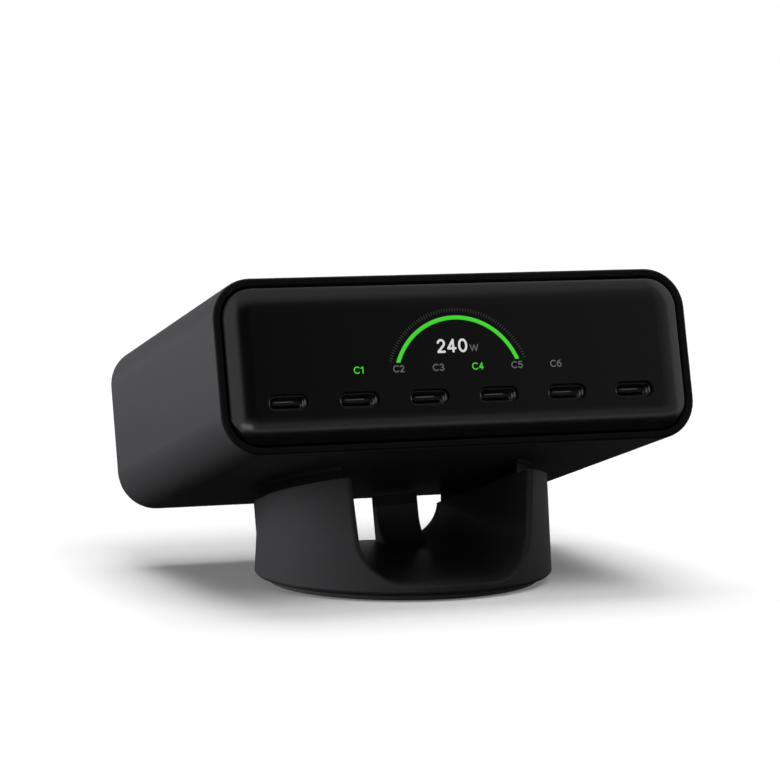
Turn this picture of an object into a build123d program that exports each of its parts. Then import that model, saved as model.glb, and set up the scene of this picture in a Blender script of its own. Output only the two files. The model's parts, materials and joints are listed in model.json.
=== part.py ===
from build123d import *
import os
from math import cos, radians, sin, tan

# Six-port USB-C desktop charger on a leaning ring stand, in millimetres.
# The origin is the centre of the foot on the desk: +X is to the right seen from
# the front, +Y goes to the rear and +Z is up. The charger's own pieces are drawn
# square to the charger, about the centre of its body, and are then leant back.

# Charger body
body_width = 112.0
body_height = 39.0
body_depth = 87.5
corner_radius = 9.1
sleeve_wall = 1.7
rim_round = 0.7
rim_lip = 0.2
tilt_angle = 15.0
desk_clearance = 12.9
body_setback = 6.5

# Front panel, a pillowed cap let into the sleeve, whose face stands proud of the rim
panel_proud = 1.5
panel_gap = 0.25
panel_wall = 2.0
panel_skirt = 1.6
skirt_round = 2.0
panel_depth = 10.5
roll_width = 3.6
roll_depth = 1.5
roll_crown = 12.0
roll_edge = 1.4

# Rear cover, a flatter cap of the same outline
cover_wall = 2.2
cover_depth = 6.0
cover_roll = 1.2

# USB-C receptacles
port_count = 6
port_pitch = 16.35
port_drop = 8.35
usb_width = 8.94
usb_height = 3.16
usb_shell_wall = 0.28
usb_length = 8.0
usb_setback = 0.9
usb_insert_depth = 2.4
tongue_width = 6.7
tongue_thickness = 0.7
tongue_setback = 0.8
tongue_corner = 0.2
slot_play = 0.15
slot_lead = 0.2

# Main board and the rails that carry it
board_thickness = 1.6
board_play = 0.3
rail_reach = 2.4
rail_thickness = 1.2
rail_play = 0.1

# Display behind the front panel
display_width = 58.0
display_thickness = 2.4
display_margin = 1.2
flex_width = 8.0
flex_thickness = 0.3
flex_run = 5.5
flex_lift = 4.8

# Mains inlet: a three-blade shroud that is open to the rear
inlet_width = 24.4
inlet_height = 17.0
inlet_wall = 1.6
inlet_depth = 19.0
inlet_back = 2.4
inlet_corner = 1.2
inlet_bevel = 4.6
inlet_flange = 1.2
inlet_lift = 0.5
blade_width = 2.0
blade_height = 4.0
blade_spacing = 14.0
blade_step = 4.0
blade_setback = 1.8
blade_tail = 1.6

# Power parts on the board
part_spacing = 2.0
side_margin = 6.0
can_diameter = 5.0
can_height = 7.0
coil_size = 8.0
coil_height = 5.5
coil_round = 0.7
transformer_width = 30.0
pfc_width = 24.0
core_depth = 22.0
core_plate = 4.5
core_leg = 4.0
core_post = 10.0
winding_play = 0.3
bulk_diameter = 14.0
bulk_round = 1.2
bulk_crimp = 0.6
bulk_gap = 1.0
bulk_count = 3
choke_diameter = 16.0
choke_bore = 7.0
choke_height = 9.0
film_width = 8.0
film_length = 15.0
film_height = 14.0
bridge_thickness = 4.0
bridge_length = 16.0
bridge_height = 12.0
bridge_legs = 4
bridge_leg_width = 1.0
bridge_standoff = 3.0
fuse_diameter = 4.4
fuse_cap = 5.2
fuse_length = 14.0
fuse_cap_length = 3.0

# Heat path: plates on the sleeve, pads up to the parts, a sheet under the board
spreader_thickness = 1.2
spreader_inset = 2.0
pad_thickness = 2.0
sheet_thickness = 0.4

# Stand
stand_radius = 34.7
stand_draft = 3.0
lean_inset = 1.2
lean_start = 4.0
lean_overlap = 10.0
neck_step = 2.0
step_height = 3.4
base_round = 1.6
leg_width = 15.0
channel_draft = 4.8
channel_round = 10.0
floor_height = 4.1
post_thickness = 2.8
post_inner = 4.8
post_width = 9.4
post_fillet = 9.0
leg_wall = 4.0
seat_pad_thickness = 0.8
seat_pad_proud = 0.4
foot_margin = 3.2
foot_thickness = 2.0
foot_inset = 0.6
edge_round = 1.0

# Levels and spans that follow from the sizes above
lean = radians(tilt_angle)
front = -body_depth / 2
rear = body_depth / 2
panel_face = front - panel_proud
inner_width = body_width - 2 * sleeve_wall
inner_height = body_height - 2 * sleeve_wall
inner_radius = corner_radius - sleeve_wall
cap_width = inner_width - 2 * panel_gap
cap_height = inner_height - 2 * panel_gap
cap_radius = inner_radius - panel_gap
rail_front = panel_face + panel_depth
ports_end = panel_face + usb_setback + usb_length
rail_rear = rear - cover_depth
board_top = -port_drop - usb_height / 2
board_bottom = board_top - board_thickness
ceiling = inner_height / 2 - spreader_thickness
part_top = ceiling - pad_thickness
part_height = part_top - board_top
body_centre_height = desk_clearance + rear * sin(lean) + body_height / 2 * cos(lean)
seat_level = body_setback * sin(lean) + (body_centre_height - lean_start) * cos(lean) - body_height / 2
leg_top = seat_level - step_height
leaning_radius = stand_radius - lean_inset
neck_radius = leaning_radius - neck_step
foot_radius = stand_radius - foot_margin
channel_half_width = stand_radius - leg_width
beyond = 2 * body_width

place_body = Location((0, body_setback, body_centre_height), (-tilt_angle, 0, 0))
place_lean = Location((0, 0, lean_start), (-tilt_angle, 0, 0))


def along_y(outline, start, end):
    """Extrudes an outline drawn in X and Z from one depth to another."""
    return extrude(Plane.XZ.offset(-end) * outline, end - start)


def block(x_span, y_span, z_span):
    """A box between two values on each axis."""
    size = [high - low for low, high in (x_span, y_span, z_span)]
    middle = [(high + low) / 2 for low, high in (x_span, y_span, z_span)]
    return Pos(*middle) * Box(*size)


def on_board(x, y, shape):
    """Stands a shape, drawn upwards from Z = 0, on the main board."""
    return Pos(x, y, board_top) * shape


def upright(radius, height):
    """A cylinder that stands on Z = 0."""
    return Cylinder(radius, height, align=(Align.CENTER, Align.CENTER, Align.MIN))


def edges_at(shape, depth):
    """The edges of a shape that lie at one depth."""
    return shape.edges().filter_by_position(Axis.Y, depth, depth)


def make_sleeve():
    """The housing: a rounded tube, open at both ends, with two board rails on each side."""
    outer = along_y(RectangleRounded(body_width, body_height, corner_radius), front, rear)
    outer = fillet(edges_at(outer, front) + edges_at(outer, rear), rim_round)
    sleeve = outer - along_y(RectangleRounded(inner_width, inner_height, inner_radius), front, rear)
    ends = sleeve.faces().sort_by(Axis.Y)
    lips = [edge for rim in (ends[0], ends[-1]) for edge in rim.inner_wires()[0].edges()]
    sleeve = fillet(lips, rim_lip)
    root = inner_width / 2 + sleeve_wall / 2
    tip = inner_width / 2 - rail_reach
    for side in (-1, 1):
        across = sorted((side * root, side * tip))
        sleeve += block(across, (rail_front, rail_rear), (board_bottom - rail_thickness, board_bottom))
        above = board_top + rail_play
        sleeve += block(across, (rail_front, rail_rear), (above, above + rail_thickness))
    return sleeve


def make_cap(face, inward, depth):
    """The solid outline of a cap for one end of the sleeve."""
    span = sorted((face, face + inward * depth))
    return along_y(RectangleRounded(cap_width, cap_height, cap_radius), *span)


def cap_hollow(face, inward, wall, depth):
    """The room inside a cap's skirt, behind its wall."""
    span = sorted((face + inward * wall, face + inward * depth))
    width = cap_width - 2 * panel_skirt
    height = cap_height - 2 * panel_skirt
    hollow = along_y(RectangleRounded(width, height, cap_radius - panel_skirt), *span)
    return fillet(edges_at(hollow, face + inward * wall), skirt_round)


def make_pillow():
    """The front panel's solid form: its face rolls off to the sides in a wide, shallow curve."""
    pillow = make_cap(panel_face, 1, panel_depth)
    face = pillow.faces().sort_by(Axis.Y)[0]
    pillow = chamfer(edges_at(pillow, panel_face), roll_width, roll_depth, reference=face)
    pillow = fillet(edges_at(pillow, panel_face), roll_crown)
    return fillet(edges_at(pillow, panel_face + roll_depth), roll_edge)


def port_centres():
    """The ports' places across the front, left to right."""
    return [(index - (port_count - 1) / 2) * port_pitch for index in range(port_count)]


def make_front_panel():
    """The glossy front, with a slot with a rounded lead-in for each receptacle."""
    panel = make_pillow() - cap_hollow(panel_face, 1, panel_wall, panel_depth)
    slot = SlotOverall(usb_width + 2 * slot_play, usb_height + 2 * slot_play)
    for x in port_centres():
        panel -= along_y(Pos(x, -port_drop) * slot, panel_face, panel_face + panel_wall)
    lead_edges = edges_at(panel, panel_face).filter_by(
        lambda edge: abs(edge.center().Z + port_drop) < usb_height
        and abs(edge.center().X) < cap_width / 2
    )
    return fillet(lead_edges, slot_lead)


def inlet_outline(margin):
    """The inlet's outline, grown by a margin, with two bevelled upper corners."""
    half_width = inlet_width / 2 + margin
    half_height = inlet_height / 2 + margin
    bevel = inlet_bevel + margin / 2
    outline = Polyline(
        (-half_width, -half_height),
        (half_width, -half_height),
        (half_width, half_height - bevel),
        (half_width - bevel, half_height),
        (-half_width + bevel, half_height),
        (-half_width, half_height - bevel),
        close=True,
    )
    face = make_face(outline)
    return fillet(face.vertices(), inlet_corner)


def inlet_centre():
    """Height of the inlet's centre: its shroud clears the board."""
    return board_top + inlet_lift + inlet_height / 2 + inlet_wall


def make_rear_cover():
    """The rear cover, cut for the inlet's shroud."""
    cover = make_cap(rear, -1, cover_depth)
    cover = fillet(edges_at(cover, rear), cover_roll) - cap_hollow(rear, -1, cover_wall, cover_depth)
    opening = Pos(0, inlet_centre()) * inlet_outline(inlet_wall)
    return cover - along_y(opening, rear - cover_wall, rear)


def make_inlet_blades():
    """Live, neutral and earth blades, each with a tail down to the board."""
    centre = inlet_centre()
    tail_rear = rear - inlet_depth
    tail_front = tail_rear - blade_tail
    aside = blade_spacing / 2
    step = blade_step / 2
    blades = []
    for x, z in ((-aside, -step), (0, step), (aside, -step)):
        across = (x - blade_width / 2, x + blade_width / 2)
        top = centre + z + blade_height / 2
        blade = block(across, (tail_front, rear - blade_setback), (top - blade_height, top))
        tail = block(across, (tail_front, tail_rear), (board_top, top))
        blades.append(blade + tail)
    return blades


def make_inlet(blades):
    """The inlet's moulding: an open shroud, a flange behind the cover and a back for the blades."""
    at_centre = Pos(0, inlet_centre())
    flange_rear = rear - cover_wall
    flange_front = flange_rear - inlet_flange
    moulding = along_y(at_centre * inlet_outline(inlet_wall), rear - inlet_depth, rear)
    moulding += along_y(at_centre * inlet_outline(inlet_wall + inlet_flange), flange_front, flange_rear)
    moulding -= along_y(at_centre * inlet_outline(0), rear - inlet_depth + inlet_back, rear)
    for blade in blades:
        moulding -= blade
    return moulding


def make_usb_shell(x):
    """The drawn steel shell of one receptacle."""
    at_port = Pos(x, -port_drop)
    start = panel_face + usb_setback
    outside = SlotOverall(usb_width, usb_height)
    inside = SlotOverall(usb_width - 2 * usb_shell_wall, usb_height - 2 * usb_shell_wall)
    return along_y(at_port * (outside - inside), start, ports_end)


def make_usb_tongue(x):
    """The moulded insert that closes the shell's rear and carries the contact tongue."""
    at_port = Pos(x, -port_drop)
    insert_front = ports_end - usb_insert_depth
    back = SlotOverall(usb_width - 2 * usb_shell_wall, usb_height - 2 * usb_shell_wall)
    insert = along_y(at_port * back, insert_front, ports_end)
    blade = RectangleRounded(tongue_width, tongue_thickness, tongue_corner)
    return insert + along_y(at_port * blade, panel_face + usb_setback + tongue_setback, insert_front)


def make_board():
    """The main board, with a narrower tongue that reaches into the front panel's skirt."""
    rail_half = inner_width / 2 - board_play
    tongue_half = cap_width / 2 - panel_skirt - board_play
    levels = (board_bottom, board_top)
    board = block((-rail_half, rail_half), (rail_front, rail_rear), levels)
    tongue_front = panel_face + panel_wall + skirt_round + board_play
    return board + block((-tongue_half, tongue_half), (tongue_front, rail_front), levels)


def display_span():
    """The display's lowest and highest level, between the ports and the panel's rolled edge."""
    low = -port_drop + usb_height / 2 + display_margin
    high = cap_height / 2 - panel_skirt - skirt_round
    return low, high


def make_display():
    """The display module, bonded behind the front panel's wall."""
    across = (-display_width / 2, display_width / 2)
    start = panel_face + panel_wall
    return block(across, (start, start + display_thickness), display_span())


def make_flex():
    """The display's ribbon: straight back over the ports, then down to the board."""
    run = display_span()[0] + flex_lift
    start = panel_face + panel_wall + display_thickness
    end = ports_end + flex_run
    profile = Polyline(
        (start, run),
        (end, run),
        (end, board_top),
        (end - flex_thickness, board_top),
        (end - flex_thickness, run - flex_thickness),
        (start, run - flex_thickness),
        close=True,
    )
    return extrude(Plane.YZ * make_face(profile), flex_width / 2, both=True)


def make_core(width):
    """A ferrite core: two plates, two outer legs and a round centre post."""
    base = (Align.CENTER, Align.CENTER, Align.MIN)
    core = Box(width, core_depth, part_height, align=base)
    window_height = part_height - 2 * core_plate
    window = Box(width - 2 * core_leg, core_depth, window_height, align=base)
    return core - Pos(0, 0, core_plate) * (window - upright(core_post / 2, window_height))


def make_winding(width):
    """The winding on its bobbin, round the core's centre post."""
    outer = min(width / 2 - core_leg, core_depth / 2) - winding_play
    window_height = part_height - 2 * core_plate
    coil = upright(outer, window_height) - upright(core_post / 2 + winding_play, window_height)
    return Pos(0, 0, core_plate) * coil


def make_bulk_capacitor():
    """An electrolytic can with a rolled top edge and a crimp near its foot."""
    radius = bulk_diameter / 2
    can = fillet(upright(radius, part_height).edges().group_by(Axis.Z)[-1], bulk_round)
    crimp = upright(radius, bulk_round) - upright(radius - bulk_crimp, bulk_round)
    return can - Pos(0, 0, 2 * bulk_round) * crimp


def make_fuse():
    """A cartridge fuse that lies across the board, with a cap on each end."""
    body = Rot(0, 90, 0) * Cylinder(fuse_diameter / 2, fuse_length)
    for side in (-1, 1):
        shift = side * (fuse_length - fuse_cap_length) / 2
        body += Pos(shift, 0, 0) * (Rot(0, 90, 0) * Cylinder(fuse_cap / 2, fuse_cap_length))
    return Pos(0, 0, fuse_cap / 2) * body


def make_bridge():
    """The bridge rectifier, on edge, on a row of legs."""
    base = (Align.CENTER, Align.CENTER, Align.MIN)
    bridge = Pos(0, 0, bridge_standoff) * Box(bridge_thickness, bridge_length, bridge_height, align=base)
    pitch = bridge_length / bridge_legs
    for index in range(bridge_legs):
        y = (index - (bridge_legs - 1) / 2) * pitch
        bridge += Pos(0, y, 0) * Box(bridge_leg_width, bridge_leg_width, bridge_standoff, align=base)
    return bridge


def power_parts():
    """Every part on the board behind the ports, row by row from the front."""
    parts = {}
    can_y = ports_end + part_spacing + can_diameter / 2
    coil_y = can_y + can_diameter / 2 + part_spacing + coil_size / 2
    core_y = coil_y + coil_size / 2 + part_spacing + core_depth / 2
    base = (Align.CENTER, Align.CENTER, Align.MIN)
    coil = Box(coil_size, coil_size, coil_height, align=base)
    coil = fillet(coil.edges().filter_by(Axis.Z) + coil.edges().group_by(Axis.Z)[-1], coil_round)
    for number, x in enumerate(port_centres(), 1):
        parts[f"output_capacitor_{number}"] = on_board(x, can_y, upright(can_diameter / 2, can_height))
        parts[f"output_inductor_{number}"] = on_board(x, coil_y, coil)

    left = -inner_width / 2 + side_margin
    transformer_x = left + transformer_width / 2
    pfc_x = left + transformer_width + part_spacing + pfc_width / 2
    cores = {"transformer": (transformer_x, transformer_width), "pfc_inductor": (pfc_x, pfc_width)}
    for name, (x, width) in cores.items():
        parts[f"{name}_core"] = on_board(x, core_y, make_core(width))
        parts[f"{name}_winding"] = on_board(x, core_y, make_winding(width))

    bulk_x = inner_width / 2 - side_margin - bulk_diameter / 2
    bulk_y = core_y - core_depth / 2 + bulk_diameter / 2
    for number in range(1, bulk_count + 1):
        y = bulk_y + (number - 1) * (bulk_diameter + bulk_gap)
        parts[f"bulk_capacitor_{number}"] = on_board(bulk_x, y, make_bulk_capacitor())

    row_y = rail_rear - part_spacing - choke_diameter / 2
    choke = upright(choke_diameter / 2, choke_height) - upright(choke_bore / 2, choke_height)
    choke = fillet(choke.edges(), coil_round)
    choke_x = left + choke_diameter / 2
    bridge_x = left + choke_diameter + part_spacing + bridge_thickness / 2
    film_x = bulk_x - bulk_diameter / 2 - part_spacing - film_width / 2
    film = fillet(Box(film_width, film_length, film_height, align=base).edges(), coil_round)
    parts["common_mode_choke"] = on_board(choke_x, row_y, choke)
    parts["bridge_rectifier"] = on_board(bridge_x, row_y, make_bridge())
    parts["film_capacitor"] = on_board(film_x, row_y, film)
    fuse_y = rear - inlet_depth - blade_tail - part_spacing - fuse_cap / 2
    parts["mains_fuse"] = on_board(0, fuse_y, make_fuse())

    pad_half = (transformer_width + part_spacing + pfc_width) / 2
    pad_x = left + pad_half
    pad_across = (pad_x - pad_half, pad_x + pad_half)
    pad_span = (core_y - core_depth / 2, core_y + core_depth / 2)
    parts["thermal_pad_upper"] = block(pad_across, pad_span, (part_top, ceiling))
    return parts


def heat_path():
    """Heat spreaders on the sleeve's flat walls, the lower pad and the insulating sheet."""
    half = inner_width / 2 - inner_radius
    span = (rail_front + spreader_inset, rail_rear - spreader_inset)
    across = (-half, half)
    floor = -inner_height / 2
    spreader_top = floor + spreader_thickness
    sheet_bottom = board_bottom - sheet_thickness
    return {
        "heat_spreader_upper": block(across, span, (ceiling, inner_height / 2)),
        "heat_spreader_lower": block(across, span, (floor, spreader_top)),
        "thermal_pad_lower": block(across, span, (spreader_top, sheet_bottom)),
        "insulating_sheet": block(across, span, (sheet_bottom, board_bottom)),
    }


def above_lean(level):
    """Everything above a level on the leaning axis."""
    slab = Box(beyond, beyond, beyond, align=(Align.CENTER, Align.CENTER, Align.MIN))
    return place_lean * (Pos(0, 0, level) * slab)


def leaning_cylinder(radius, low, high):
    """A cylinder about the leaning axis, between two levels on it."""
    return place_lean * (Pos(0, 0, low) * upright(radius, high - low))


def ring_body(inset, top):
    """The stand's outer form: an upright drafted cone joined with a cylinder that leans back."""
    height = body_centre_height
    cone = Cone(
        stand_radius - inset,
        stand_radius - inset - height * tan(radians(stand_draft)),
        height,
        align=(Align.CENTER, Align.CENTER, Align.MIN),
    )
    reach = (-beyond, beyond)
    rear_side = place_lean * block(reach, (-lean_overlap, beyond), reach)
    leaning = leaning_cylinder(leaning_radius - inset, -stand_radius, body_centre_height) & rear_side
    return cone + leaning - above_lean(top)


def base_envelope():
    """Trims the ring at the foot, with a rounded lower edge."""
    low = foot_thickness - foot_inset
    turn = low + base_round
    flare = turn + body_centre_height
    reach = stand_radius + body_centre_height
    start = stand_radius - base_round
    outline = Line((0, low), (start, low))
    outline += CenterArc((start, turn), base_round, -90, 90)
    outline += Polyline((stand_radius, turn), (reach, flare), (reach, beyond), (0, beyond), (0, low))
    return revolve(Plane.XZ * make_face(outline), Axis.Z)


def channel(margin, y_span):
    """The U-shaped way through the ring: drafted walls and a floor with round corners."""
    mid_height = (floor_height + leg_top) / 2
    slope = tan(radians(channel_draft))
    low = floor_height - margin
    high = 2 * body_centre_height
    foot = channel_half_width + margin - (mid_height - low) * slope
    head = channel_half_width + margin + (high - mid_height) * slope
    profile = make_face(Polyline((-foot, low), (foot, low), (head, high), (-head, high), close=True))
    corners = profile.vertices().group_by(Axis.Y)[0]
    return along_y(fillet(corners, channel_round), *y_span)


def make_posts():
    """Two slim posts that rise from the rear of the floor and curve into it."""
    outer = leaning_cylinder(neck_radius, -stand_radius, seat_level - seat_pad_thickness)
    reach = (-beyond, beyond)
    above_floor = block(reach, reach, (floor_height, beyond))
    bowl = leaning_cylinder(neck_radius - post_thickness, -stand_radius, beyond) & above_floor
    bowl = fillet(bowl.edges().group_by(Axis.Z)[0], post_fillet)
    seated = block(reach, (0, beyond), (foot_thickness, beyond))
    wall = (outer & seated) - bowl
    posts = Part()
    for side in (-1, 1):
        across = sorted((side * post_inner, side * (post_inner + post_width)))
        posts += wall & block(across, reach, reach)
    return posts


def make_ring():
    """The ring with its way through, and a soft edge along the front of that way."""
    ring = (ring_body(0, leg_top) & base_envelope()) - channel(0, (-beyond, beyond))
    cone = ring.faces().filter_by(GeomType.CONE).sort_by(SortBy.AREA)[-1]
    edge = cone.edges().filter_by(
        lambda side: side.center().Y < -lean_overlap
        and abs(side.center().X) < channel_half_width + leg_wall
        and side.bounding_box().min.Z >= floor_height - edge_round
    )
    return fillet(edge, edge_round)


def make_stand():
    """The moulded stand: two hollow legs on a thin floor, a stepped neck on each and two rear posts."""
    neck = leaning_cylinder(neck_radius, leg_top - leg_wall, seat_level - seat_pad_thickness)
    stand = make_ring() + (neck - channel(0, (-beyond, beyond)))
    stand -= ring_body(leg_wall, leg_top - leg_wall) - channel(leg_wall, (-beyond, beyond))
    stand += make_posts()
    foot_seat = upright(foot_radius, foot_thickness)
    return stand - foot_seat


def make_seat_pad(side):
    """A silicone pad on one leg's neck, under the charger."""
    pad = leaning_cylinder(neck_radius + seat_pad_proud, seat_level - seat_pad_thickness, seat_level)
    pad -= channel(0, (-beyond, beyond))
    across = sorted((0, side * beyond))
    return pad & block(across, (-beyond, beyond), (-beyond, beyond))


def make_foot():
    """The round silicone foot, let into the stand's underside."""
    foot = upright(foot_radius, foot_thickness)
    return fillet(foot.edges().group_by(Axis.Z)[0], foot_inset)


def charger_pieces():
    """The charger's own pieces, square to its body."""
    blades = make_inlet_blades()
    pieces = {
        "housing_sleeve": make_sleeve(),
        "front_panel": make_front_panel(),
        "rear_cover": make_rear_cover(),
        "mains_inlet": make_inlet(blades),
        "inlet_blades": Compound(blades),
        "main_board": make_board(),
        "display_module": make_display(),
        "display_ribbon": make_flex(),
    }
    for number, x in enumerate(port_centres(), 1):
        pieces[f"usb_shell_{number}"] = make_usb_shell(x)
        pieces[f"usb_tongue_{number}"] = make_usb_tongue(x)
    pieces.update(power_parts())
    pieces.update(heat_path())
    return pieces


def stand_pieces():
    """The stand's pieces, upright on the desk."""
    return {
        "stand_body": make_stand(),
        "seat_pad_left": make_seat_pad(-1),
        "seat_pad_right": make_seat_pad(1),
        "foot_pad": make_foot(),
    }


os.makedirs("parts", exist_ok=True)
for name, piece in charger_pieces().items():
    export_step(place_body * piece, f"parts/{name}.step")
for name, piece in stand_pieces().items():
    export_step(piece, f"parts/{name}.step")
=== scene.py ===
import json
import math

import bmesh
import bpy
from mathutils import Matrix, Vector, geometry


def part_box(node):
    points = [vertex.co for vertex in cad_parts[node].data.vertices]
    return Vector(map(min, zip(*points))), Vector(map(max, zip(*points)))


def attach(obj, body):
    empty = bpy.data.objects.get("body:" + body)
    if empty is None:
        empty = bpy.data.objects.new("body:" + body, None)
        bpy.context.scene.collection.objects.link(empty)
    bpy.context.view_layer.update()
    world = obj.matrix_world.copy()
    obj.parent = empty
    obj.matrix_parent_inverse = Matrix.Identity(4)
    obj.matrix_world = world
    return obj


# Six-port desktop charger on its leaning ring stand.
# Lengths are in millimetres times MM, angles in degrees.
MM = 0.001

# Camera, as a distance and two angles from the middle of the housing
CAMERA_DISTANCE = 767 * MM
CAMERA_AZIMUTH = -20.1
CAMERA_ELEVATION = 5.89
CAMERA_FOCAL_PIXELS = 3284
CAMERA_CLIP = 10 * MM
PHOTO_SIZE = 780
SENSOR_WIDTH = 36
TARGET_PIXEL = (393.46, 392.0)

# Display, measured on the front face from the middle of the row of ports
DISPLAY_SHIFT = -0.85 * MM
MARK_THICKNESS = 0.02 * MM
MARK_LIFT = 0.01 * MM
GAUGE_CENTRE = 2.5 * MM
GAUGE_RADIUS = 15.05 * MM
GAUGE_STROKE = 0.9 * MM
GAUGE_HALF_ANGLE = 74.0
GAUGE_FOOT = 7.85 * MM
GAUGE_STEPS = 72
TICK_RADIUS = 16.85 * MM
TICK_LENGTH = 0.75 * MM
TICK_WIDTH = 0.16 * MM
TICK_HALF_ANGLE = 70.0
TICK_COUNT = 66
FIGURE_BASE = 9.7 * MM
FIGURE_HEIGHT = 3.1 * MM
FIGURE_START = -4.68 * MM
FIGURE_STROKE = 0.5 * MM
UNIT_BASE = 9.85 * MM
UNIT_HEIGHT = 1.6 * MM
UNIT_START = 3.02 * MM
UNIT_STROKE = 0.22 * MM
LABEL_BASE = 5.7 * MM
LABEL_HEIGHT = 1.62 * MM
LABEL_PITCH = 9.33 * MM
LABEL_SHIFT = -0.1 * MM
LABEL_STROKE = 0.26 * MM
LIT_LABELS = (1, 4)

# Openings for the ports in the front panel: half their straight length, and their end radius with its lead-in
MOUTH_STRAIGHT = 2.89 * MM
MOUTH_RADIUS = 1.95 * MM

# Inside each receptacle: contacts on the tongue, a steel lip on its tip, ribs in the shell's end walls.
# Sizes are across, up and along the port, and setbacks are behind the front face.
CONTACT_COUNT = 12
CONTACT_PITCH = 0.5 * MM
CONTACT_SIZE = (0.26 * MM, 0.05 * MM, 3.4 * MM)
CONTACT_SETBACK = 2.1 * MM
TONGUE_FACES = 2
TONGUE_THICKNESS = 0.7 * MM
LIP_WIDTH = 4.4 * MM
LIP_RADIUS = 0.09 * MM
LIP_PLACE = (-0.7 * MM, 0.3 * MM, -1.7 * MM)
LIP_SIDES = 10
RIB_SIZE = (0.3 * MM, 1.4 * MM, 0.25 * MM)
RIB_COUNT = 3
RIB_PITCH = 1.7 * MM
RIB_SPAN = 8.27 * MM
RIB_SETBACK = 1.0 * MM
SHELL_ENDS = 2

# Darker bands: the front rims of the sleeve and of the ports' shells, from behind the front face,
# and painted shade on the stand's neck, which lies in the charger's shadow, below the ports
RIM_SETBACK = 1.75 * MM
SHELL_RIM = 1.7 * MM
NECK_SHADE_DROP = 14.5 * MM
BAND_BLUR = 0.06 * MM

# Studio, in metres
FLOOR_HALF = 30.0
FLOOR_SEEN = 0.8
FLOOR_GLOW = 0.14
FLOOR_BOUNCE = 0.06
AMBIENT = 0.1
WHITE = (1, 1, 1, 1)
BLACK = (0, 0, 0, 1)
# Each top light has its azimuth and elevation, its strength, how wide it is,
# and whether it is for the floor alone
TOP_LIGHTS = {
    "top_front_light": (0, 60, 1.66, 42, True),
    "top_rear_light": (180, 76, 1.88, 42, False),
}
# Each softbox has its azimuth and elevation, its width and height, its power, and whether reflections show it
SOFTBOXES = {
    "left_softbox": (-106, 12, 0.6, 0.6, 7.6, False),
    "low_softbox": (-70, 14, 0.5, 0.3, 0.3, False),
    "rear_softbox": (150, 30, 0.6, 0.6, 3.0, False),
    "front_strip": (-12, 5, 0.26, 0.1, 0.2, True),
}
SOFTBOX_DISTANCE = 0.8

# Black cards round the charger, seen only in reflections, with windows to the white room.
# A window has its middle azimuth and half width, its middle elevation and half height, how clear it is
# and how soft its edges are.
CARD_RADIUS = 1.6
CARD_STEP = 3
WINDOWS = (
    (-38, 25, 22, 44, 0.9, 10),
    (-100, 45, 22, 44, 0.3, 24),
    (84, 54, 30, 44, 0.45, 56),
    (108, 52, 30, 44, 0.9, 9),
    (10, 60, 6, 8, 0.45, 10),
    (0, 360, 80, 34, 0.6, 24),
)
CARD_LEAK = 0.05
DESK_CARD_RADIUS = 0.75
DESK_CARD_COVER = 0.96
DESK_CARD_FADE = 1.5
DESK_CARD_BLUR = 1.0
DESK_CARD_RINGS = 12
DESK_CARD_SIDES = 48
DESK_CARD_LIFT = 0.3 * MM


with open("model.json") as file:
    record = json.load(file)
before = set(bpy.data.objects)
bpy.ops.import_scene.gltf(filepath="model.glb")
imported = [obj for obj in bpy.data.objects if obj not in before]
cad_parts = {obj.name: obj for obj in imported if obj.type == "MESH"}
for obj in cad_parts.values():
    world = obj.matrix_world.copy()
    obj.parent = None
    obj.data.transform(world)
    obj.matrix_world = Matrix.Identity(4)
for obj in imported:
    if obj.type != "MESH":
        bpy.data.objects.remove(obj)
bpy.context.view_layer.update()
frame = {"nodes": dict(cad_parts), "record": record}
NODES = frame["nodes"]
PORTS = [mount for mount in frame["record"]["mounts"] if mount["name"].startswith("usb_c_port")]
PORT_COUNT = len(PORTS)
PORT_PITCH = PORTS[1]["pos_m"][0] - PORTS[0]["pos_m"][0]
EVERY_PORT = {"Ports": PORT_COUNT, "Port Pitch": PORT_PITCH}


def front_frame():
    """The front face's own axes: X to the right, Y up the face, Z out of it, from the middle of the ports."""
    across = Vector((1, 0, 0))
    facing = Vector(PORTS[0]["axis"]).normalized()
    up = facing.cross(across)
    middle = sum((Vector(port["pos_m"]) for port in PORTS), Vector()) / PORT_COUNT
    axes = Matrix((across, up, facing)).transposed().to_4x4()
    return Matrix.Translation(middle) @ axes


FRONT = front_frame()
FACE_UP = FRONT.col[1].xyz
FACE_OUT = FRONT.col[2].xyz
DISPLAY = FRONT @ Matrix.Translation((DISPLAY_SHIFT, 0, 0))
LEFT_PORT = Vector((-(PORT_COUNT - 1) / 2 * PORT_PITCH, 0, 0))


def place_object(name, data):
    """A new object with this data, in the scene at the origin."""
    made = bpy.data.objects.new(name, data)
    bpy.context.scene.collection.objects.link(made)
    return made


def linear(code):
    """An sRGB hex colour as linear red, green, blue and alpha."""
    parts = [int(code[start:start + 2], 16) / 255 for start in (1, 3, 5)]
    return [part / 12.92 if part <= 0.04045 else ((part + 0.055) / 1.055) ** 2.4 for part in parts] + [1.0]


def feed(tree, node, inputs):
    """Sets a node's inputs. Each is a value, or the output socket that the input is linked to."""
    for name, value in inputs.items():
        if isinstance(value, bpy.types.NodeSocket):
            tree.links.new(value, node.inputs[name])
        else:
            node.inputs[name].default_value = value


def add_node(tree, kind, inputs=None, **settings):
    """Adds a node with its settings, which are its attributes, and its inputs."""
    made = tree.nodes.new(kind)
    for name, value in settings.items():
        setattr(made, name, value)
    feed(tree, made, inputs or {})
    return made


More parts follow.
